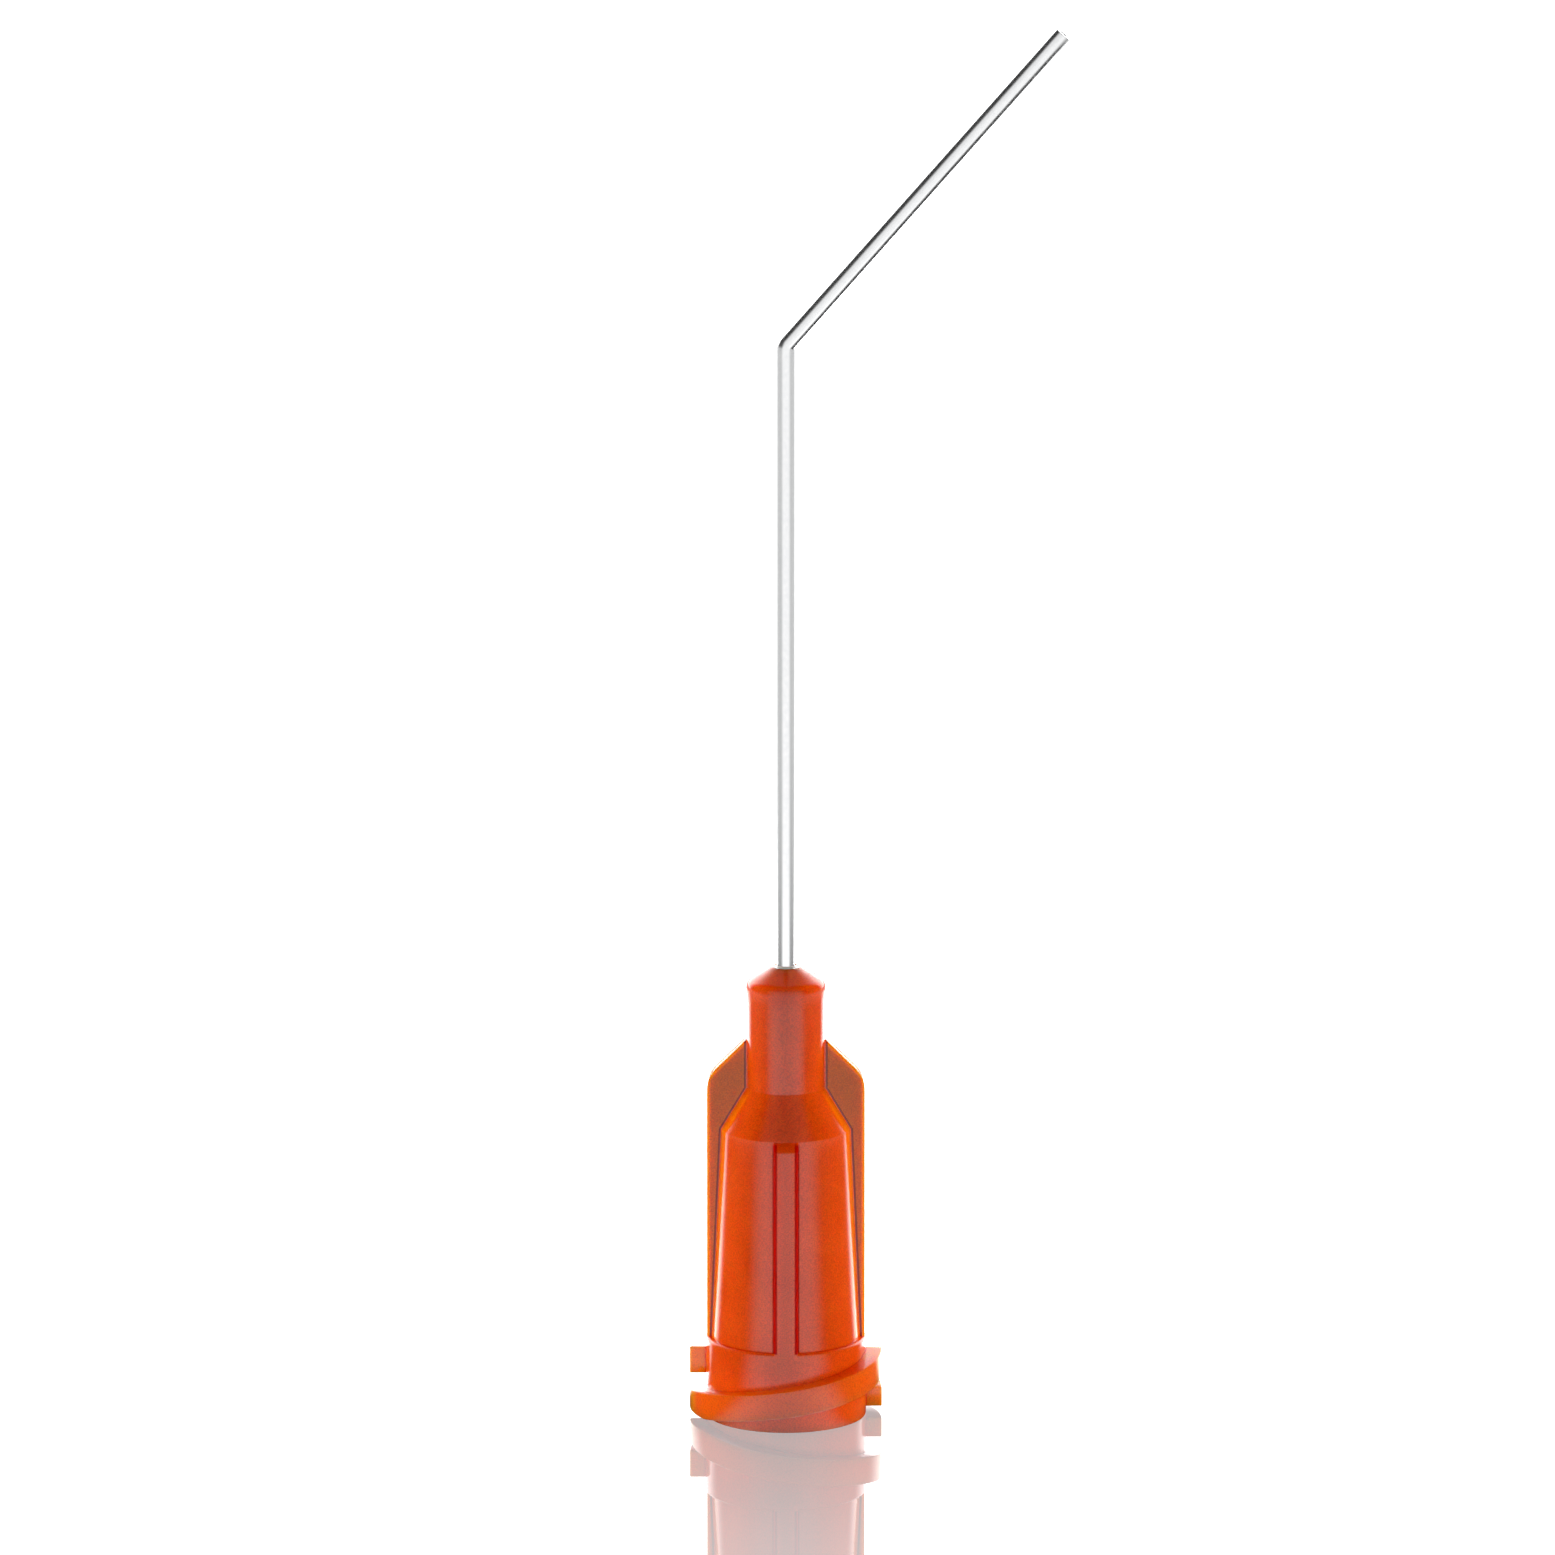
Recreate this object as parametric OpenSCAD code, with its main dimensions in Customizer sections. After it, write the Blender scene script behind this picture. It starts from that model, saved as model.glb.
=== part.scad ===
// Dispensing needle tip: a moulded luer lock hub that carries a bent stainless cannula.
// Millimetres. The origin is the centre of the hub's mouth, on the plane of its rim.
// +Z runs up the hub, and the cannula bends toward +X.

/* [Ring at the mouth] */
// Outside radius of the ring
ring_r = 3.25; // [3.2:0.01:3.3]
// Height of the ring
ring_h = 3.29; // [3.2:0.01:3.6]
// Rounding of the ring's top edge
ring_round = 0.12; // [0.05:0.01:0.16]

/* [Barrel, neck and nose] */
// Barrel radius where it leaves the ring
barrel_r_low = 3.01; // [2.95:0.01:3.04]
// Barrel radius at the shoulder
barrel_r_high = 2.63; // [2.55:0.01:2.75]
// Height of the shoulder
shoulder_z = 11.98; // [11.8:0.01:12.3]
// Rounding of the shoulder's edge
shoulder_round = 0.12; // [0.05:0.01:0.3]
// Radius of the neck
neck_r = 1.61; // [1.55:0.01:1.75]
// Height at which the shoulder cone meets the neck
neck_z = 13.7; // [13.4:0.01:14.0]
// Overall height of the hub
hub_h = 18.67; // [18.3:0.01:19.2]
// Radius of the flat at the top of the nose
nose_r = 0.564; // [0.54:0.002:0.7]
// Slope of the nose cone, in degrees from level
nose_slope = 31; // [26:1:35]
// Rounding where the neck turns into the nose
nose_round = 0.5; // [0.2:0.05:0.6]

/* [Wings and ribs] */
// Thickness of the two wings
wing_t = 0.77; // [0.7:0.01:1.0]
// Reach of the wings from the axis
wing_r = 3.2; // [3.1:0.01:3.24]
// Height at which the wings' slanting tops would meet on the axis
wing_apex_z = 17.3; // [16.8:0.1:17.6]
// Rounding of each wing's top corner
wing_corner = 1.25; // [0.6:0.05:1.6]
// Rounding of the wings' long edges
wing_edge = 0.13; // [0.05:0.01:0.2]
// Overall width of the front and back ribs
rib_w = 1.0; // [0.8:0.02:1.2]
// Rounding of the ribs' long edges
rib_edge = 0.16; // [0.08:0.01:0.2]
// Drop of a rib's top from the barrel to its face
rib_drop = 0.28; // [0.1:0.02:0.5]

/* [Lock lugs] */
// Outside radius across the lugs
lug_r = 3.9; // [3.8:0.01:3.95]
// Height of a lug's section along the axis
lug_t = 1.116; // [1.0:0.01:1.2]
// Rise of a lug over its half turn
lug_rise = 1.704; // [1.5:0.01:1.75]
// Top of a lug where it starts
lug_start_top = 1.058; // [0.9:0.01:1.1]
// Least height of a lug above the rim
lug_clear = 0.238; // [0.1:0.01:0.4]

/* [Socket and passage] */
// Radius of the luer socket at the mouth
socket_r = 2.15; // [2.1:0.01:2.2]
// Depth of the luer socket
socket_depth = 11.4; // [9:0.1:11.4]
// Lead-in at the mouth
mouth_lead = 0.1; // [0.05:0.01:0.2]

/* [Cannula and adhesive] */
// Outside radius of the cannula
cannula_r = 0.36; // [0.3:0.01:0.4]
// Radius of the cannula's bore
bore_r = 0.205; // [0.1:0.005:0.25]
// Height of the corner at which the cannula's two legs would meet
bend_z = 44.33; // [30:0.01:60]
// Angle of the bend
bend_angle = 41; // [20:1:60]
// Radius of the bend at the middle of the tube
bend_r = 0.45; // [0.42:0.01:3]
// Length of the bent leg, measured from that corner
leg = 16.89; // [6:0.01:30]
// Radius of the adhesive well in the nose
well_r = 0.5; // [0.48:0.005:0.53]
// Depth of the adhesive well
well_depth = 0.8; // [0.4:0.1:1.2]
// Height to which the adhesive creeps up the cannula
creep = 0.06; // [0.02:0.01:0.15]

/* [Hidden] */
$fn = 96;
luer_taper = 0.06;                       // of the diameter, for each unit of length
socket_r_end = socket_r - socket_depth * luer_taper / 2;
passage_z = socket_depth + (socket_r_end - cannula_r);   // a 45 degree funnel
nose_corner_z = hub_h - (neck_r - nose_r) * tan(nose_slope);
bend_start_z = bend_z - bend_r * tan(bend_angle / 2);
leg_straight = leg - bend_r * tan(bend_angle / 2);
past = 0.2;                              // how far a cut runs past its face
lug_steps = 36;

// Points of a closed outline, with corner i rounded to radius rad[i]
function unit(v) = v / norm(v);
function corner(a, b, c, r, n) =
    r <= 0 ? [b] :
    let (u = unit(a - b), w = unit(c - b), half = acos(u * w) / 2,
         o = b + unit(u + w) * (r / sin(half)),
         p = b + u * (r / tan(half)) - o, q = b + w * (r / tan(half)) - o,
         turn = sign(p[0] * q[1] - p[1] * q[0]) * (180 - 2 * half))
    [for (k = [0 : n]) let (t = turn * k / n)
        o + [p[0] * cos(t) - p[1] * sin(t), p[0] * sin(t) + p[1] * cos(t)]];
function rounded(pts, rad, n = 6) =
    [for (i = [0 : len(pts) - 1])
        each corner(pts[(i + len(pts) - 1) % len(pts)], pts[i], pts[(i + 1) % len(pts)], rad[i], n)];

// Ring, barrel, shoulder, neck and nose, turned about the axis
module turned_body() {
    rotate_extrude()
        polygon(rounded(
            [[0, 0], [ring_r, 0], [ring_r, ring_h], [barrel_r_low, ring_h],
             [barrel_r_high, shoulder_z], [neck_r, neck_z], [neck_r, nose_corner_z],
             [nose_r, hub_h], [0, hub_h]],
            [0, 0, ring_round, 0, shoulder_round, 0, nose_round, 0, 0]));
}

// One plate through the axis that shows as the two wings, with its edges drawn in by d
function wing_outline(d) = rounded(
    [[-wing_r + d, ring_h / 2], [wing_r - d, ring_h / 2],
     [wing_r - d, wing_apex_z - wing_r + d - d * sqrt(2)], [0, wing_apex_z - d * sqrt(2)],
     [-wing_r + d, wing_apex_z - wing_r + d - d * sqrt(2)]],
    [0, 0, wing_corner - d, 0, wing_corner - d], 8);

module wings() {
    rotate([90, 0, 0])
        hull()
            for (a = [0, 45, 90])
                linear_extrude(height = wing_t - 2 * wing_edge * (1 - sin(a)), center = true)
                    polygon(wing_outline(wing_edge * (1 - cos(a))));
}

// A rib on the barrel, its face flush with the ring
module rib() {
    intersection() {
        cylinder(r = ring_r, h = hub_h);
        linear_extrude(height = hub_h)
            polygon(rounded(
                [[-rib_w / 2, -1.9], [-rib_w / 2, -ring_r - 0.02], [rib_w / 2, -ring_r - 0.02], [rib_w / 2, -1.9]],
                [0, rib_edge, rib_edge, 0]));
        rotate([90, 0, 90])
            linear_extrude(height = rib_w + 1, center = true)
                polygon(rounded(
                    [[-1.9, 2.6], [-ring_r - 0.02, 2.6], [-ring_r - 0.02, shoulder_z - rib_drop],
                     [-barrel_r_high, shoulder_z], [-1.9, shoulder_z]],
                    [0, 0, ring_round, 0, 0]));
    }
}

// Half a turn of right-hand thread, cut off level near the rim
module lug() {
    function top(i) = lug_start_top + lug_rise * i / lug_steps;
    function low(i) = max(lug_clear, top(i) - lug_t);
    r_in = 2.9;
    r_out = lug_r + past;
    pts = [for (i = [0 : lug_steps]) let (a = 180 * i / lug_steps, c = cos(a), s = sin(a))
        each [[r_in * c, r_in * s, low(i)], [r_out * c, r_out * s, low(i)],
              [r_out * c, r_out * s, top(i)], [r_in * c, r_in * s, top(i)]]];
    last = 4 * lug_steps;
    sides = [for (i = [0 : lug_steps - 1], k = [0 : 3])
        let (p = 4 * i + k, q = 4 * i + (k + 1) % 4)
        each [[p, q + 4, p + 4], [p, q, q + 4]]];
    ends = [[0, 2, 1], [0, 3, 2], [last, last + 1, last + 2], [last, last + 2, last + 3]];
    intersection() {
        cylinder(r = lug_r, h = ring_h);
        polyhedron(points = pts, faces = concat(sides, ends));
    }
}

// Luer socket, funnel and the seat that grips the cannula
module passage() {
    translate([0, 0, -past])
        cylinder(r1 = socket_r + past * luer_taper / 2, r2 = socket_r_end, h = socket_depth + past);
    translate([0, 0, -past])
        cylinder(r1 = socket_r + mouth_lead + past, r2 = socket_r - 0.001, h = mouth_lead + past + 0.001);
    translate([0, 0, socket_depth])
        cylinder(r1 = socket_r_end, r2 = cannula_r, h = passage_z - socket_depth);
    translate([0, 0, passage_z - 0.05])
        cylinder(r = cannula_r, h = hub_h + past - passage_z);
    translate([0, 0, hub_h - well_depth])
        cylinder(r = well_r, h = well_depth + past);
}

module hub() {
    color([0.93, 0.33, 0.05])
        difference() {
            union() {
                turned_body();
                wings();
                rib();
                rotate([0, 0, 180]) rib();
                lug();
                rotate([0, 0, 180]) lug();
            }
            passage();
        }
}

// A rod along the cannula's route: straight leg, bend and bent leg
module route(r, more) {
    translate([0, 0, passage_z - more])
        cylinder(r = r, h = bend_start_z - passage_z + more, $fn = 64);
    translate([bend_r, 0, bend_start_z]) {
        rotate([90, 0, 180])
            rotate_extrude(angle = bend_angle)
                translate([bend_r, 0]) circle(r = r, $fn = 64);
        rotate([0, bend_angle, 0])
            translate([-bend_r, 0, 0])
                cylinder(r = r, h = leg_straight + more, $fn = 64);
    }
}

module cannula() {
    color([0.80, 0.82, 0.84])
        difference() {
            route(cannula_r, 0);
            route(bore_r, past);
        }
}

// Clear adhesive that fills the well round the cannula and creeps a little way up it
module adhesive_bead() {
    color([0.97, 0.92, 0.84])
        rotate_extrude()
            polygon([[cannula_r, hub_h - well_depth], [well_r, hub_h - well_depth],
                     [well_r, hub_h], [cannula_r, hub_h + creep]]);
}

hub();
cannula();
adhesive_bead();
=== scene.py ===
import math

import bmesh
import bpy
from mathutils import Matrix, Vector

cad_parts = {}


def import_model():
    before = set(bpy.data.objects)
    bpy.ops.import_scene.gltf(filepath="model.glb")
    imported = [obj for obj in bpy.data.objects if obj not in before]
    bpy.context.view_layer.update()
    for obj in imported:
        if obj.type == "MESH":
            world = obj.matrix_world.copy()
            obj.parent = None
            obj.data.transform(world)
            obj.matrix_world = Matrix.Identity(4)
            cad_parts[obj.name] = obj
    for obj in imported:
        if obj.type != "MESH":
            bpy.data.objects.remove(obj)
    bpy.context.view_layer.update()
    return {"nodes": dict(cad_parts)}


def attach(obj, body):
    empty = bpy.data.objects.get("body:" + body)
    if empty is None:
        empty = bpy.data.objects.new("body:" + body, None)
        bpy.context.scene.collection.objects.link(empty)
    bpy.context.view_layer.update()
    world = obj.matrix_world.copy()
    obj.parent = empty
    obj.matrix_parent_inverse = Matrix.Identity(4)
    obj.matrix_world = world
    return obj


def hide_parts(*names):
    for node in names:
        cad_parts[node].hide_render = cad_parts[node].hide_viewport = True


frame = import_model()
MM = 0.001

# ---------------------------------------------------------------- sizes, as in the CAD model
RING_R, RING_H, RING_ROUND = 3.25, 3.29, 0.12
BARREL_LOW, BARREL_HIGH, SHOULDER_Z, SHOULDER_ROUND = 3.01, 2.63, 11.98, 0.12
NECK_R, NECK_Z, HUB_H, NOSE_R, NOSE_SLOPE, NOSE_ROUND = 1.61, 13.70, 18.67, 0.564, 31.0, 0.50
WING_T, WING_R, WING_APEX, WING_CORNER, WING_EDGE = 0.77, 3.20, 17.30, 1.25, 0.13
RIB_W, RIB_EDGE, RIB_DROP = 1.0, 0.16, 0.28
LUG_R, LUG_T, LUG_RISE, LUG_TOP0, LUG_CLEAR = 3.90, 1.116, 1.704, 1.058, 0.238
SOCKET_R, SOCKET_DEPTH, LEAD, TAPER = 2.15, 11.4, 0.10, 0.06
TUBE_R, BORE_R, BEND_Z, BEND, BEND_R, LEG = 0.36, 0.205, 44.33, math.radians(41.0), 0.45, 16.89
WELL_R, WELL_DEPTH, CREEP = 0.50, 0.80, 0.06
SOCKET_END = SOCKET_R - SOCKET_DEPTH * TAPER / 2
FUNNEL_Z = SOCKET_DEPTH + SOCKET_END - TUBE_R
NOSE_CORNER_Z = HUB_H - (NECK_R - NOSE_R) * math.tan(math.radians(NOSE_SLOPE))


# ---------------------------------------------------------------- outlines and meshes
def rounded(points, radii, steps=8):
    """A closed outline whose corner i is turned into an arc of radii[i]."""
    out, n = [], len(points)
    for i in range(n):
        a, b, c = (Vector(points[j % n]) for j in (i - 1, i, i + 1))
        r = radii[i]
        if r <= 0:
            out.append(b)
            continue
        u, w = (a - b).normalized(), (c - b).normalized()
        half = math.acos(max(-1, min(1, u.dot(w)))) / 2
        o = b + (u + w).normalized() * (r / math.sin(half))
        p, q = b + u * (r / math.tan(half)) - o, b + w * (r / math.tan(half)) - o
        turn = math.copysign(math.pi - 2 * half, p.x * q.y - p.y * q.x)
        for k in range(steps + 1):
            t = turn * k / steps
            out.append(o + Vector((p.x * math.cos(t) - p.y * math.sin(t), p.x * math.sin(t) + p.y * math.cos(t))))
    return out


def split_long(points, longest, closed=True):
    """The same outline with extra points, so that no side is longer than longest."""
    out, n = [], len(points)
    for i in range(n if closed else n - 1):
        a, b = points[i], points[(i + 1) % n]
        parts = max(1, math.ceil((b - a).length / longest))
        out += [a.lerp(b, k / parts) for k in range(parts)]
    if not closed:
        out.append(points[-1])
    return out


def made(name, verts, faces):
    mesh = bpy.data.meshes.new(name)
    mesh.from_pydata([Vector(v) * MM for v in verts], [], faces)
    mesh.validate()
    obj = bpy.data.objects.new(name, mesh)
    bpy.context.scene.collection.objects.link(obj)
    bm = bmesh.new()
    bm.from_mesh(mesh)
    bmesh.ops.remove_doubles(bm, verts=bm.verts, dist=1e-8)
    bmesh.ops.recalc_face_normals(bm, faces=bm.faces)
    bm.to_mesh(mesh)
    bm.free()
    return obj


def lathe(name, profile, around=256, start=0.0, closed=False):
    """Turns (radius, height) points about the axis. A closed profile makes a ring, an open one starts and ends on the axis."""
    verts, faces, rings = [], [], []
    for r, z in profile:
        if r < 1e-9:
            rings.append([len(verts)])
            verts.append((0, 0, z))
        else:
            rings.append(range(len(verts), len(verts) + around))
            for k in range(around):
                a = start + 2 * math.pi * k / around
                verts.append((r * math.cos(a), r * math.sin(a), z))
    pairs = list(zip(rings, rings[1:]))
    if closed:
        pairs.append((rings[-1], rings[0]))
    for low, top in pairs:
        for k in range(around):
            n = (k + 1) % around
            quad = [low[k % len(low)], low[n % len(low)], top[n % len(top)], top[k % len(top)]]
            quad = list(dict.fromkeys(quad))
            if len(quad) > 2:
                faces.append(quad)
    return made(name, verts, faces)


def loft(name, loops):
    """A closed solid from a stack of outlines with equal numbers of points."""
    n = len(loops[0])
    verts = [p for loop in loops for p in loop]
    faces = [list(range(n - 1, -1, -1)), list(range(n * (len(loops) - 1), n * len(loops)))]
    for j in range(len(loops) - 1):
        for k in range(n):
            a, b = j * n + k, j * n + (k + 1) % n
            faces.append((a, b, b + n, a + n))
    return made(name, verts, faces)


def bevel(obj, width, segments=3, angle=30):
    m = obj.modifiers.new("edge", "BEVEL")
    m.width, m.segments, m.limit_method, m.angle_limit = width * MM, segments, "ANGLE", math.radians(angle)
    m.use_clamp_overlap = True
    apply_all(obj)


def boolean(obj, tool, operation):
    m = obj.modifiers.new("cut", "BOOLEAN")
    m.operation, m.solver, m.object = operation, "MANIFOLD", tool
    apply_all(obj)
    bpy.data.objects.remove(tool)


def apply_all(obj):
    dg = bpy.context.evaluated_depsgraph_get()
    mesh = bpy.data.meshes.new_from_object(obj.evaluated_get(dg))
    old = obj.data
    obj.modifiers.clear()
    obj.data = mesh
    bpy.data.meshes.remove(old)


def finish_mesh(obj, sharp=28.0):
    """Smooth shading with true creases, and normals weighted by area so that flats stay flat beside a rounding."""
    for p in obj.data.polygons:
        p.use_smooth = True
    bm = bmesh.new()
    bm.from_mesh(obj.data)
    bmesh.ops.dissolve_degenerate(bm, dist=1e-8, edges=bm.edges)
    limit = math.radians(sharp)
    for e in bm.edges:
        e.smooth = len(e.link_faces) == 2 and e.calc_face_angle(0) < limit
    bm.to_mesh(obj.data)
    bm.free()
    m = obj.modifiers.new("flats", "WEIGHTED_NORMAL")
    m.keep_sharp, m.weight, m.mode = True, 60, "FACE_AREA"
    apply_all(obj)


# ---------------------------------------------------------------- hub
def hub():
    outline = rounded(
        [(RING_R, 0), (RING_R, RING_H), (BARREL_LOW, RING_H), (BARREL_HIGH, SHOULDER_Z), (NECK_R, NECK_Z),
         (NECK_R, NOSE_CORNER_Z), (NOSE_R, HUB_H), (0, HUB_H), (0, 0)],
        [0.03, RING_ROUND, 0, SHOULDER_ROUND, 0, NOSE_ROUND, 0.02, 0, 0], 8)
    outline = [Vector((0, 0))] + outline[:-1]
    body = lathe("hub_shell", split_long(outline, 0.5, closed=False), 240, start=0.013)

    def wing_outline(d):
        top = WING_APEX - WING_R + d - d * math.sqrt(2)
        return rounded(
            [(-WING_R + d, 1.6), (WING_R - d, 1.6), (WING_R - d, top), (0, WING_APEX - d * math.sqrt(2)), (-WING_R + d, top)],
            [0, 0, WING_CORNER - d, 0.0, WING_CORNER - d], 16)

    # widest outline in the middle, drawn in toward both faces
    stack = []
    for k in range(7):
        t = math.radians(90 * k / 6)
        stack.append((-(WING_T / 2 - WING_EDGE * (1 - math.cos(t))), WING_EDGE * (1 - math.sin(t))))
    stack = stack + [(-y, d) for y, d in reversed(stack)]
    wings = loft("wings", [[(x, y, z) for x, z in wing_outline(d)] for y, d in stack])
    boolean(body, wings, "UNION")

    for turn in (0, math.pi):
        plan = rounded([(-RIB_W / 2, -1.9), (-RIB_W / 2, -RING_R - 0.02), (RIB_W / 2, -RING_R - 0.02), (RIB_W / 2, -1.9)],
                       [0, RIB_EDGE, RIB_EDGE, 0], 6)
        rib = loft("rib", [[(x, y, z) for x, y in plan] for z in (2.6, 13.0)])
        side = rounded([(-1.9, 2.5), (-RING_R, 2.5), (-RING_R, SHOULDER_Z - RIB_DROP), (-BARREL_HIGH, SHOULDER_Z), (-1.9, SHOULDER_Z)],
                       [0, 0, 0.12, 0, 0], 6)
        cut = loft("cut", [[(x, y, z) for y, z in side] for x in (-0.7, 0.7)])
        boolean(rib, cut, "INTERSECT")
        drum = lathe("drum", [Vector((0, 2.4)), Vector((RING_R - 0.001, 2.4)), Vector((RING_R - 0.001, 13.2)), Vector((0, 13.2))], 240, start=0.013)
        boolean(rib, drum, "INTERSECT")
        rib.data.transform(Matrix.Rotation(turn, 4, "Z"))
        boolean(body, rib, "UNION")

    for turn in (0, math.pi):
        n, loops = 60, []
        for i in range(n + 1):
            a = math.pi * i / n
            top = LUG_TOP0 + LUG_RISE * i / n
            low = max(LUG_CLEAR, top - LUG_T)
            section = [Vector((2.9, low)), Vector((LUG_R, low)), Vector((LUG_R, top)), Vector((2.9, top))]
            loops.append([(r * math.cos(a), r * math.sin(a), z) for r, z in section])
        lug = loft("lug", loops)
        bevel(lug, 0.05, 3, 40)
        lug.data.transform(Matrix.Rotation(turn, 4, "Z"))
        boolean(body, lug, "UNION")

    passage = [(0, -0.5), (SOCKET_R + LEAD + 0.5, -0.5), (SOCKET_R + LEAD, 0), (SOCKET_R, LEAD),
               (SOCKET_END, SOCKET_DEPTH), (TUBE_R, FUNNEL_Z), (TUBE_R, HUB_H - WELL_DEPTH), (WELL_R, HUB_H - WELL_DEPTH),
               (WELL_R, HUB_H + 0.3), (0, HUB_H + 0.3)]
    bore = lathe("bore", split_long([Vector(p) for p in passage], 1.0, closed=False), 160, start=0.02)
    boolean(body, bore, "DIFFERENCE")
    finish_mesh(body)
    return body


# ---------------------------------------------------------------- cannula
def route():
    """Points along the middle of the tube: place, direction and side vector."""
    out = []
    reach = BEND_R * math.tan(BEND / 2)
    for k in range(41):
        out.append((Vector((0, 0, FUNNEL_Z + (BEND_Z - reach - FUNNEL_Z) * k / 40)), 0.0))
    for k in range(1, 17):
        t = BEND * k / 16
        out.append((Vector((BEND_R - BEND_R * math.cos(t), 0, BEND_Z - reach + BEND_R * math.sin(t))), t))
    start, _ = out[-1]
    along = Vector((math.sin(BEND), 0, math.cos(BEND)))
    for k in range(1, 21):
        out.append((start + along * ((LEG - reach) * k / 20), BEND))
    return out


def cannula():
    """One closed skin: up the outside, over the cut end, down the bore and back."""
    path, around = route(), 64
    edge = 0.03

    def ring(centre, t, r):
        side = Vector((math.cos(t), 0, -math.sin(t)))
        return [centre + side * (r * math.cos(2 * math.pi * k / around)) + Vector((0, 1, 0)) * (r * math.sin(2 * math.pi * k / around))
                for k in range(around)]

    def end_rings(centre, t, sign):
        """Rounded lips of a cut end, from the outside to the bore."""
        along = Vector((math.sin(t), 0, math.cos(t))) * sign
        out = []
        for k in range(5):
            a = math.pi / 2 * k / 4
            out.append(ring(centre - along * (edge * (1 - math.sin(a))), t, TUBE_R - edge * (1 - math.cos(a))))
        for k in range(5):
            a = math.pi / 2 * k / 4
            out.append(ring(centre - along * (edge * (1 - math.cos(a))), t, BORE_R + edge * (1 - math.sin(a))))
        return out

    rings = [ring(c, t, TUBE_R) for c, t in path[1:-1]]
    rings += end_rings(*path[-1], 1)
    rings += [ring(c, t, BORE_R) for c, t in reversed(path[1:-1])]
    rings += list(reversed(end_rings(*path[0], -1)))
    verts = [v for r in rings for v in r]
    faces = []
    for j in range(len(rings)):
        n = (j + 1) % len(rings)
        for k in range(around):
            m = (k + 1) % around
            faces.append((j * around + k, j * around + m, n * around + m, n * around + k))
    tube = made("cannula_tube", verts, faces)
    finish_mesh(tube, 35)
    return tube


def adhesive():
    z0, z1 = HUB_H - WELL_DEPTH + 0.01, HUB_H
    profile = [(TUBE_R + 0.001, z0), (WELL_R - 0.001, z0), (WELL_R - 0.001, z1 - 0.02)]
    for k in range(9):
        t = k / 8
        r = WELL_R - 0.001 - (WELL_R - TUBE_R - 0.002) * t
        profile.append((r, z1 - 0.01 + (CREEP + 0.01) * t ** 2.2))
    bead = lathe("adhesive_fill", [Vector(p) for p in profile], 96, closed=True)
    finish_mesh(bead, 40)
    return bead


# ---------------------------------------------------------------- node helpers
def math_node(nodes, links, op, a, b=None, clamp=False):
    n = nodes.new("ShaderNodeMath")
    n.operation, n.use_clamp = op, clamp
    for i, v in enumerate((a, b)):
        if v is None:
            continue
        if isinstance(v, (int, float)):
            n.inputs[i].default_value = v
        else:
            links.new(v, n.inputs[i])
    return n.outputs[0]


def ramp_node(nodes, links, value, x0, x1, y0, y1):
    n = nodes.new("ShaderNodeMapRange")
    n.interpolation_type = "SMOOTHSTEP"
    for k, v in zip(("From Min", "From Max", "To Min", "To Max"), (x0, x1, y0, y1)):
        n.inputs[k].default_value = v
    links.new(value, n.inputs["Value"])
    return n.outputs["Result"]


def add(nodes, links, a, b):
    return math_node(nodes, links, "ADD", a, b)


def times(nodes, links, a, b):
    return math_node(nodes, links, "MULTIPLY", a, b)


def length_xy(nodes, links, x, y):
    return math_node(nodes, links, "SQRT", add(nodes, links, times(nodes, links, x, x), times(nodes, links, y, y)))


# ---------------------------------------------------------------- materials
def new_material(name):
    m = bpy.data.materials.new(name)
    m.use_nodes = True
    m.node_tree.nodes.clear()
    return m, m.node_tree.nodes, m.node_tree.links


# hub colours that paint light and shade: light through thin plastic, glows, and shade in corners and flanks
WING_PAINTED_LIGHT, WING_EDGE_PAINTED_GLOW = (0.66, 0.165, 0.004), (0.98, 0.24, 0.002)
LUG_END_PAINTED_LIGHT, FLANK_PAINTED_SHADE = (0.90, 0.27, 0.001), (0.42, 0.003, 0.0002)
BARREL_PAINTED_GLOW, WING_ROOT_PAINTED_SHADE, NOSE_TINT = (1.0, 0.16, 0.0005), (0.30, 0.030, 0.0002), (1.0, 0.085, 0.0003)
THREAD_PAINTED_LIGHT = (0.95, 0.115, 0.0005)


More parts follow.
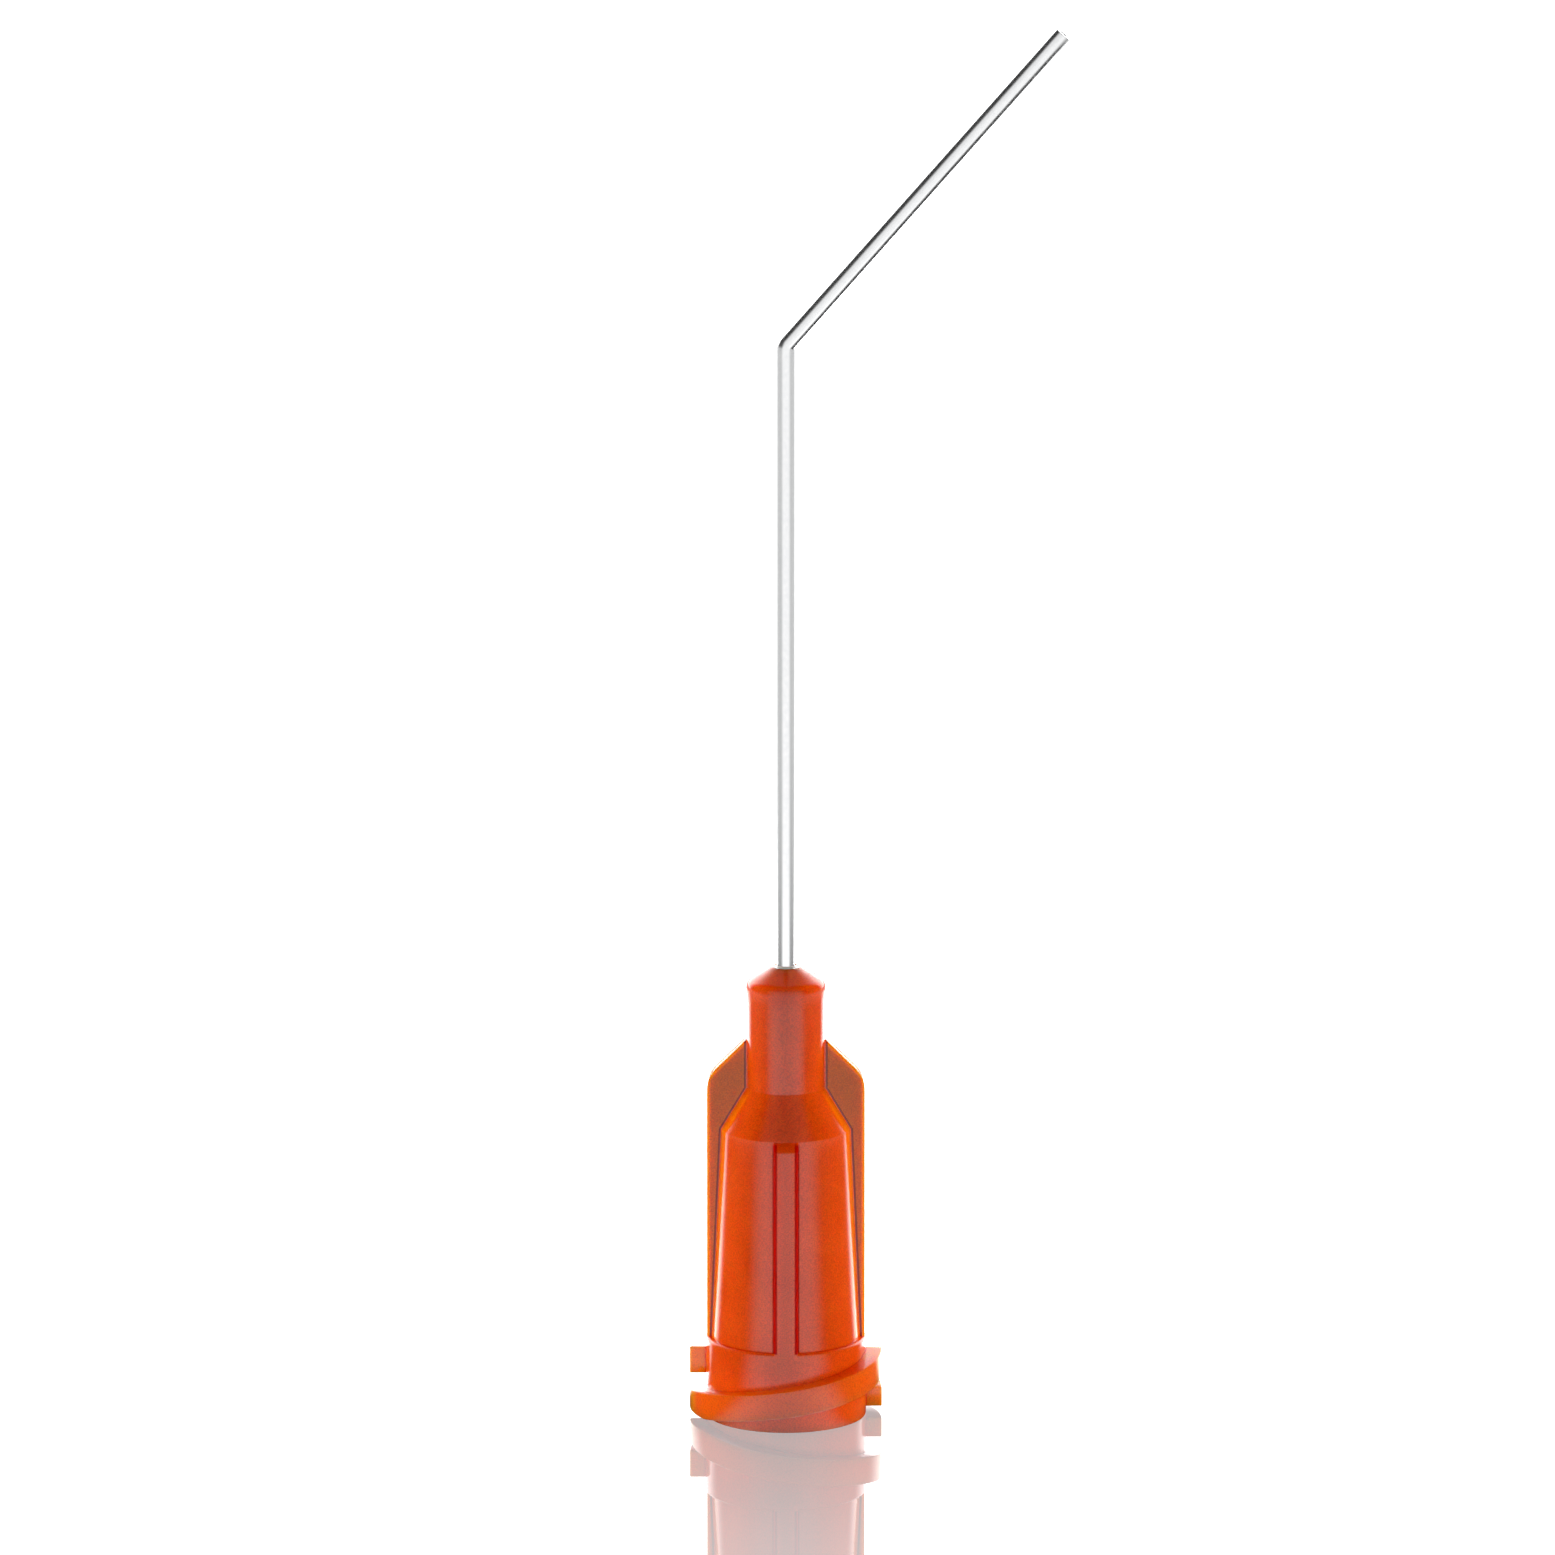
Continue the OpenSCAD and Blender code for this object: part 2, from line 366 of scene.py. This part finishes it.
def hub_material():
    m, nodes, links = new_material("orange_plastic")
    out = nodes.new("ShaderNodeOutputMaterial")
    b = nodes.new("ShaderNodeBsdfPrincipled")
    links.new(b.outputs["BSDF"], out.inputs["Surface"])
    coord = nodes.new("ShaderNodeTexCoord")
    # slow drifts of colour, as pigment and wall thickness vary in a moulding
    cloud = nodes.new("ShaderNodeTexNoise")
    cloud.inputs["Scale"].default_value, cloud.inputs["Detail"].default_value = 420.0, 3.0
    links.new(coord.outputs["Object"], cloud.inputs["Vector"])
    ramp = nodes.new("ShaderNodeValToRGB")
    ramp.color_ramp.elements[0].position, ramp.color_ramp.elements[1].position = 0.3, 0.7
    ramp.color_ramp.elements[0].color = (0.74, 0.070, 0.0003, 1)
    ramp.color_ramp.elements[1].color = (0.82, 0.086, 0.0004, 1)
    links.new(cloud.outputs["Fac"], ramp.inputs["Fac"])
    # place on the moulding, in millimetres
    scale = nodes.new("ShaderNodeVectorMath")
    scale.operation = "SCALE"
    scale.inputs["Scale"].default_value = 1000.0
    links.new(coord.outputs["Object"], scale.inputs[0])
    sep = nodes.new("ShaderNodeSeparateXYZ")
    links.new(scale.outputs["Vector"], sep.inputs["Vector"])
    across = math_node(nodes, links, "ABSOLUTE", sep.outputs["X"])
    deep = math_node(nodes, links, "ABSOLUTE", sep.outputs["Y"])
    z = sep.outputs["Z"]
    around = length_xy(nodes, links, sep.outputs["X"], sep.outputs["Y"])

    def linear(value, x0, x1, y0, y1):
        n = nodes.new("ShaderNodeMapRange")
        for k, v in zip(("From Min", "From Max", "To Min", "To Max"), (x0, x1, y0, y1)):
            n.inputs[k].default_value = v
        links.new(value, n.inputs["Value"])
        return n.outputs["Result"]

    def tint(base, mask, colour):
        n = nodes.new("ShaderNodeMix")
        n.data_type = "RGBA"
        links.new(mask, n.inputs["Factor"])
        links.new(base, n.inputs["A"])
        n.inputs["B"].default_value = (*colour, 1)
        return n.outputs["Result"]

    wall = add(nodes, links, linear(z, RING_H, SHOULDER_Z, BARREL_LOW, BARREL_HIGH),
               linear(z, SHOULDER_Z, NECK_Z, 0.0, NECK_R - BARREL_HIGH))
    proud = math_node(nodes, links, "SUBTRACT", across, wall)
    above_ring = linear(z, RING_H - 0.02, RING_H + 0.02, 0.0, 1.0)
    wing = times(nodes, links, times(nodes, links, linear(proud, 0.02, 0.08, 0.0, 1.0), above_ring),
                 linear(deep, 0.40, 0.46, 1.0, 0.0))
    # painted light: thin sections let more light through than the body, so the wing flats are painted browner and
    # the wing edges painted as a brighter glow
    colour = tint(ramp.outputs["Color"], wing, WING_PAINTED_LIGHT)
    painted_rim_glow = math_node(nodes, links, "MAXIMUM", linear(across, 3.02, 3.12, 0.0, 1.0),
                    linear(add(nodes, links, across, z), 17.06, 17.18, 0.0, 1.0))
    colour = tint(colour, times(nodes, links, wing, painted_rim_glow), WING_EDGE_PAINTED_GLOW)
    # painted light and shade: the barrel's own outline is painted as a glow, and the corner where a wing stands on
    # it is painted dark as shade
    glow = times(nodes, links, linear(proud, -0.26, -0.18, 0.0, 1.0), linear(proud, -0.02, 0.0, 1.0, 0.0))
    glow = times(nodes, links, times(nodes, links, glow, above_ring), linear(z, 13.3, 13.8, 1.0, 0.0))
    colour = tint(colour, glow, BARREL_PAINTED_GLOW)
    # painted shade in the corner along each wing root
    root = times(nodes, links, linear(proud, -0.01, 0.01, 0.0, 1.0), linear(proud, 0.07, 0.10, 1.0, 0.0))
    root = times(nodes, links, root, times(nodes, links, above_ring, linear(deep, 0.46, 0.50, 1.0, 0.0)))
    colour = tint(colour, root, WING_ROOT_PAINTED_SHADE)
    # painted light: the thread faces are painted brighter than the ring below them, standing in for the lit thread
    # over the shaded ring; the far ends of the threads are painted yellower for light passing through the thin
    # plastic
    lug = times(nodes, links, linear(around, 3.26, 3.32, 0.0, 1.0), linear(z, 3.2, 3.25, 1.0, 0.0))
    colour = tint(colour, lug, THREAD_PAINTED_LIGHT)
    lug = times(nodes, links, lug, linear(across, 3.0, 3.2, 0.0, 1.0))
    colour = tint(colour, times(nodes, links, lug, linear(sep.outputs["Y"], -1.5, -0.9, 0.0, 1.0)), LUG_END_PAINTED_LIGHT)
    colour = tint(colour, linear(z, NOSE_CORNER_Z - 0.05, NOSE_CORNER_Z + 0.05, 0.0, 1.0), NOSE_TINT)
    # painted shade: deep red in the narrow flanks of the two ribs
    painted_flank_shade = times(nodes, links, times(nodes, links, linear(across, 0.33, 0.38, 0.0, 1.0), linear(across, 0.52, 0.56, 1.0, 0.0)),
                  times(nodes, links, linear(deep, 2.55, 2.60, 0.0, 1.0), linear(deep, 3.30, 3.35, 1.0, 0.0)))
    painted_flank_shade = times(nodes, links, painted_flank_shade, times(nodes, links, above_ring, linear(z, 11.9, 12.0, 1.0, 0.0)))
    colour = tint(colour, painted_flank_shade, FLANK_PAINTED_SHADE)
    dull = math_node(nodes, links, "MAXIMUM", painted_flank_shade, times(nodes, links, glow, 0.6))
    dull = linear(math_node(nodes, links, "MAXIMUM", dull, times(nodes, links, wing, 0.45)), 0.0, 1.0, 0.5, 0.04)
    links.new(dull, b.inputs["Specular IOR Level"])
    # speckle of pigment
    speck = nodes.new("ShaderNodeTexNoise")
    speck.inputs["Scale"].default_value, speck.inputs["Detail"].default_value = 16000.0, 1.0
    links.new(coord.outputs["Object"], speck.inputs["Vector"])
    grainy = nodes.new("ShaderNodeHueSaturation")
    links.new(linear(speck.outputs["Fac"], 0.3, 0.7, 0.84, 1.16), grainy.inputs["Value"])
    links.new(colour, grainy.inputs["Color"])
    links.new(grainy.outputs["Color"], b.inputs["Base Color"])
    # fine grain left by the mould
    grain = nodes.new("ShaderNodeTexNoise")
    grain.inputs["Scale"].default_value, grain.inputs["Detail"].default_value = 9000.0, 2.0
    links.new(coord.outputs["Object"], grain.inputs["Vector"])
    bump = nodes.new("ShaderNodeBump")
    bump.inputs["Strength"].default_value, bump.inputs["Distance"].default_value = 0.25, 0.000004
    links.new(grain.outputs["Fac"], bump.inputs["Height"])
    links.new(bump.outputs["Normal"], b.inputs["Normal"])
    rough = nodes.new("ShaderNodeMapRange")
    rough.inputs["To Min"].default_value, rough.inputs["To Max"].default_value = 0.10, 0.20
    links.new(cloud.outputs["Fac"], rough.inputs["Value"])
    links.new(rough.outputs["Result"], b.inputs["Roughness"])
    b.inputs["IOR"].default_value = 1.5
    b.inputs["Subsurface Weight"].default_value = 1.0
    b.inputs["Subsurface Radius"].default_value = (1.0, 0.5, 0.12)
    b.inputs["Subsurface Scale"].default_value = 0.0008
    return m


def steel_material():
    m, nodes, links = new_material("drawn_steel")
    out = nodes.new("ShaderNodeOutputMaterial")
    b = nodes.new("ShaderNodeBsdfPrincipled")
    links.new(b.outputs["BSDF"], out.inputs["Surface"])
    coord = nodes.new("ShaderNodeTexCoord")
    b.inputs["Metallic"].default_value = 1.0
    streak = nodes.new("ShaderNodeTexNoise")
    streak.inputs["Scale"].default_value, streak.inputs["Detail"].default_value = 5200.0, 3.0
    links.new(coord.outputs["Object"], streak.inputs["Vector"])
    ramp = nodes.new("ShaderNodeValToRGB")
    ramp.color_ramp.elements[0].color = (0.70, 0.71, 0.72, 1)
    ramp.color_ramp.elements[1].color = (0.80, 0.80, 0.80, 1)
    links.new(streak.outputs["Fac"], ramp.inputs["Fac"])
    links.new(ramp.outputs["Color"], b.inputs["Base Color"])
    rough = nodes.new("ShaderNodeMapRange")
    rough.inputs["To Min"].default_value, rough.inputs["To Max"].default_value = 0.16, 0.30
    links.new(streak.outputs["Fac"], rough.inputs["Value"])
    links.new(rough.outputs["Result"], b.inputs["Roughness"])
    bump = nodes.new("ShaderNodeBump")
    bump.inputs["Strength"].default_value, bump.inputs["Distance"].default_value = 0.2, 0.000002
    links.new(streak.outputs["Fac"], bump.inputs["Height"])
    links.new(bump.outputs["Normal"], b.inputs["Normal"])
    return m


def adhesive_material():
    m, nodes, links = new_material("clear_adhesive")
    out = nodes.new("ShaderNodeOutputMaterial")
    b = nodes.new("ShaderNodeBsdfPrincipled")
    links.new(b.outputs["BSDF"], out.inputs["Surface"])
    coord = nodes.new("ShaderNodeTexCoord")
    cloud = nodes.new("ShaderNodeTexNoise")
    cloud.inputs["Scale"].default_value = 2500.0
    links.new(coord.outputs["Object"], cloud.inputs["Vector"])
    ramp = nodes.new("ShaderNodeValToRGB")
    ramp.color_ramp.elements[0].color = (0.90, 0.80, 0.66, 1)
    ramp.color_ramp.elements[1].color = (0.97, 0.92, 0.84, 1)
    links.new(cloud.outputs["Fac"], ramp.inputs["Fac"])
    links.new(ramp.outputs["Color"], b.inputs["Base Color"])
    b.inputs["Roughness"].default_value = 0.08
    b.inputs["IOR"].default_value = 1.5
    b.inputs["Subsurface Weight"].default_value = 0.5
    b.inputs["Subsurface Radius"].default_value = (1.0, 0.9, 0.8)
    b.inputs["Subsurface Scale"].default_value = 0.0003
    return m


# ---------------------------------------------------------------- stage
def sector_levels(nodes, links, x, y, away):
    """The studio seen from the object: bright ahead and behind, dark cards to the left and right.
    Returns the level for a direction or floor point with parts x and y and length away in the plane."""
    c = math_node(nodes, links, "DIVIDE", y, math_node(nodes, links, "MAXIMUM", away, 1e-5))
    back = ramp_node(nodes, links, c, BACK_EDGE[0], BACK_EDGE[1], 0.0, 1.0)
    front = ramp_node(nodes, links, math_node(nodes, links, "MULTIPLY", c, -1.0), FRONT_EDGE[0], FRONT_EDGE[1], 0.0, 1.0)
    return back, front


BACK_EDGE, FRONT_EDGE = (0.45, 0.80), (0.45, 0.85)
NEAR_BACK, NEAR_FRONT, NEAR_SIDE = 7.0, 1.65, 0.0     # floor close to the object, as its gloss sees it
FAR_BACK, FAR_FRONT, FAR_SIDE = 0.85, 1.18, 0.75        # floor further off, as the tall cannula sees it
HIGH_BACK, HIGH_FRONT, HIGH_SIDE = 5.5, 1.3, 0.06      # above the horizon


def floor_piece():
    obj = made("floor", [(-3000, -3000, 0), (3000, -3000, 0), (3000, 3000, 0), (-3000, 3000, 0)], [(0, 1, 2, 3)])
    m, nodes, links = new_material("floor_white")
    out = nodes.new("ShaderNodeOutputMaterial")
    path = nodes.new("ShaderNodeLightPath")
    geo = nodes.new("ShaderNodeNewGeometry")
    sep = nodes.new("ShaderNodeSeparateXYZ")
    links.new(geo.outputs["Position"], sep.inputs["Vector"])
    x, y = sep.outputs["X"], sep.outputs["Y"]
    away = length_xy(nodes, links, x, y)

    # seen directly: glossy white, more mirror-like at a grazing view, its reflection fading with distance
    facing = nodes.new("ShaderNodeLayerWeight")
    facing.inputs["Blend"].default_value = 0.5
    share = ramp_node(nodes, links, facing.outputs["Facing"], 0.55, 0.75, 0.12, 0.46)
    fade = ramp_node(nodes, links, away, 0.004, 0.024, 1.0, 0.86)
    share = times(nodes, links, share, fade)
    own = ramp_node(nodes, links, away, 0.004, 0.024, 0.72, 0.82)
    glow = nodes.new("ShaderNodeEmission")
    links.new(own, glow.inputs["Strength"])
    mirror = nodes.new("ShaderNodeBsdfGlossy")
    mirror.inputs["Roughness"].default_value = 0.02
    seen = nodes.new("ShaderNodeMixShader")
    links.new(share, seen.inputs[0])
    links.new(glow.outputs[0], seen.inputs[1])
    links.new(mirror.outputs[0], seen.inputs[2])

    # seen in the object's gloss
    back, front = sector_levels(nodes, links, x, y, away)
    far = ramp_node(nodes, links, away, 0.062, 0.085, 0.0, 1.0)
    near = math_node(nodes, links, "SUBTRACT", 1.0, far)
    side = math_node(nodes, links, "SUBTRACT", 1.0, math_node(nodes, links, "MAXIMUM", back, front))

    def level(b, f, s):
        return add(nodes, links, add(nodes, links, times(nodes, links, back, b), times(nodes, links, front, f)),
                   times(nodes, links, side, s))
    total = add(nodes, links, times(nodes, links, near, level(NEAR_BACK, NEAR_FRONT, NEAR_SIDE)),
                times(nodes, links, far, level(FAR_BACK, FAR_FRONT, FAR_SIDE)))
    lit = nodes.new("ShaderNodeEmission")
    links.new(total, lit.inputs["Strength"])
    mix = nodes.new("ShaderNodeMixShader")
    links.new(path.outputs["Is Camera Ray"], mix.inputs[0])
    links.new(lit.outputs[0], mix.inputs[1])
    links.new(seen.outputs[0], mix.inputs[2])
    links.new(mix.outputs[0], out.inputs["Surface"])
    m.cycles.emission_sampling = "NONE"
    obj.data.materials.append(m)
    obj.visible_diffuse = False
    obj.visible_shadow = False
    return obj


def world():
    """White backdrop. Only gloss sees the studio here; the soft light itself comes from the area lights."""
    w = bpy.data.worlds.new("studio")
    bpy.context.scene.world = w
    w.use_nodes = True
    w.cycles_visibility.diffuse = False
    nodes, links = w.node_tree.nodes, w.node_tree.links
    nodes.clear()
    out = nodes.new("ShaderNodeOutputWorld")
    path = nodes.new("ShaderNodeLightPath")
    coord = nodes.new("ShaderNodeTexCoord")
    sep = nodes.new("ShaderNodeSeparateXYZ")
    links.new(coord.outputs["Generated"], sep.inputs["Vector"])
    x, y, z = sep.outputs["X"], sep.outputs["Y"], sep.outputs["Z"]
    back, front = sector_levels(nodes, links, x, y, length_xy(nodes, links, x, y))
    side = math_node(nodes, links, "SUBTRACT", 1.0, math_node(nodes, links, "MAXIMUM", back, front))
    level = add(nodes, links, add(nodes, links, times(nodes, links, back, HIGH_BACK), times(nodes, links, front, HIGH_FRONT)),
                times(nodes, links, side, HIGH_SIDE))
    level = times(nodes, links, level, ramp_node(nodes, links, z, 0.35, 0.85, 1.0, 0.10))
    # the white wall low down all round, which the floor mirrors toward the camera
    wall = ramp_node(nodes, links, z, 0.28, 0.34, 2.3, 0.0)
    first = math_node(nodes, links, "LESS_THAN", path.outputs["Ray Depth"], 1.5)
    level = math_node(nodes, links, "MAXIMUM", level, times(nodes, links, wall, first))
    lit = nodes.new("ShaderNodeBackground")
    links.new(level, lit.inputs["Strength"])
    seen = nodes.new("ShaderNodeBackground")
    mix = nodes.new("ShaderNodeMixShader")
    links.new(path.outputs["Is Camera Ray"], mix.inputs[0])
    links.new(lit.outputs[0], mix.inputs[1])
    links.new(seen.outputs[0], mix.inputs[2])
    links.new(mix.outputs[0], out.inputs["Surface"])


def soft_light(name, azimuth, elevation, away, width, height, power):
    """A soft box that faces the hub. Azimuth 0 is the camera's side, 90 is +X."""
    a, e = math.radians(azimuth), math.radians(elevation)
    data = bpy.data.lights.new(name, "AREA")
    data.shape, data.size, data.size_y, data.energy = "RECTANGLE", width, height, power
    obj = bpy.data.objects.new(name, data)
    bpy.context.scene.collection.objects.link(obj)
    back = Vector((math.sin(a) * math.cos(e), -math.cos(a) * math.cos(e), math.sin(e)))
    obj.location = Vector((0, 0, 0.010)) + back * away
    obj.rotation_mode = "QUATERNION"
    obj.rotation_quaternion = (-back).to_track_quat("-Z", "Y")
    obj.visible_glossy = False
    obj.visible_camera = False
    return obj


def camera():
    data = bpy.data.cameras.new("camera")
    cam = bpy.data.objects.new("camera", data)
    bpy.context.scene.collection.objects.link(cam)
    data.sensor_width, data.lens = 36.0, 459.7
    data.clip_start, data.clip_end = 0.05, 10.0
    pitch, away = math.radians(13.7), 0.8
    cam.location = (-0.000338, -away * math.cos(pitch), 0.02651 + away * math.sin(pitch))
    cam.rotation_euler = (math.pi / 2 - pitch, 0, 0)
    bpy.context.scene.camera = cam


# ---------------------------------------------------------------- the scene
camera()
world()
floor_piece()
soft_light("left", -95, 5, 0.30, 0.20, 0.20, 1.1)
soft_light("right", 95, 5, 0.30, 0.20, 0.20, 1.1)
soft_light("front", 0, 8, 0.40, 0.30, 0.20, 0.62)
soft_light("behind", 180, 8, 0.35, 0.30, 0.20, 1.6)
for obj, node, slot, material in (
        (hub(), "hub", "hub_plastic", hub_material()),
        (cannula(), "cannula", "steel", steel_material()),
        (adhesive(), "adhesive_bead", "adhesive", adhesive_material())):
    obj.data.materials.clear()
    obj.data.materials.append(material)
    frame["nodes"][node].data.materials.clear()
    frame["nodes"][node].data.materials.append(material)
    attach(obj, "root")
    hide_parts(node)

view = bpy.context.scene.view_settings
view.view_transform, view.look = "Standard", "None"
bpy.context.scene.cycles.max_bounces = 12
